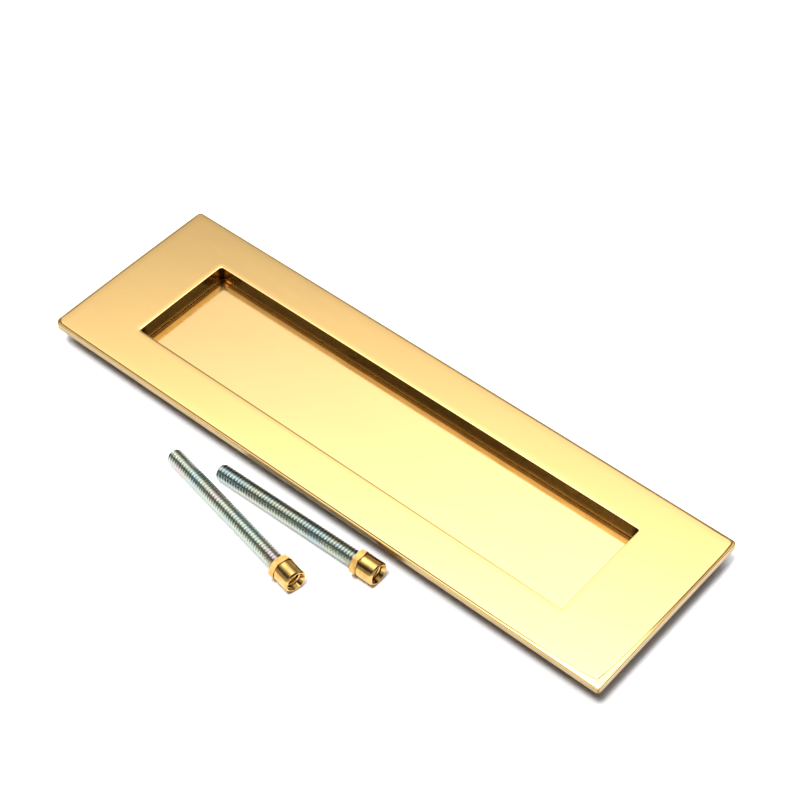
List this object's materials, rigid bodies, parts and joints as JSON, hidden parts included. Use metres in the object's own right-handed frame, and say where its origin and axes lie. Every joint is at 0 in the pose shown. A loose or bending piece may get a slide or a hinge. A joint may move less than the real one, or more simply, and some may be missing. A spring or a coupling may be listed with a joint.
{
  "type": "letter plate",
  "caption": "Rectangular brass letter plate with a recessed, sprung, inward-opening flap on a rear hinge pin, and its loose threaded fixing studs with flanged nuts.",
  "frame": {"origin": "centre of the slot, in the plane of the face plate's back, which sits on the door", "axes": "+X along the slot, +Y up the door towards the hinge, +Z out of the door towards the street"},
  "size_m": [0.254, 0.1098, 0.0116],
  "materials": {
    "plate_brass": "hand-polished cast brass",
    "flap_brass": "polished cast brass",
    "pin_steel": "drawn steel",
    "spring_steel": "drawn spring wire",
    "zinc_steel": "bright zinc plate over rolled thread",
    "nut_brass": "machined brass"
  },
  "bodies": {
    "plate": {"face_plate": "plate_brass", "hinge_pin": "pin_steel", "spring_left": "spring_steel", "spring_right": "spring_steel"},
    "flap": {"flap": "flap_brass"},
    "stud_left": {"stud_left": "zinc_steel"},
    "stud_right": {"stud_right": "zinc_steel"},
    "nut_left": {"nut_left": "nut_brass"},
    "nut_right": {"nut_right": "nut_brass"}
  },
  "joints": [
    {"name": "flap_hinge", "type": "hinge", "parent": "plate", "child": "flap", "pos_m": [0, 0.028, -0.0049], "axis": [1, 0, 0], "range_deg": [0, 85], "stiffness_Nm_per_rad": 0.08, "springref_deg": -91.67, "deforming": ["spring_left", "spring_right"]},
    {"name": "stud_left_lift", "type": "slide", "parent": "plate", "child": "stud_left", "axis": [0, 0, 1], "range_m": [0, 0.04]},
    {"name": "stud_right_lift", "type": "slide", "parent": "plate", "child": "stud_right", "axis": [0, 0, 1], "range_m": [0, 0.04]},
    {"name": "nut_left_travel", "type": "slide", "parent": "stud_left", "child": "nut_left", "axis": [-0.9814, 0.1908, -0.0209], "range_m": [-0.00381, 0.05969]},
    {"name": "nut_right_travel", "type": "slide", "parent": "stud_right", "child": "nut_right", "axis": [-0.9997, -0.0105, -0.0209], "range_m": [-0.00381, 0.05969]}
  ]
}
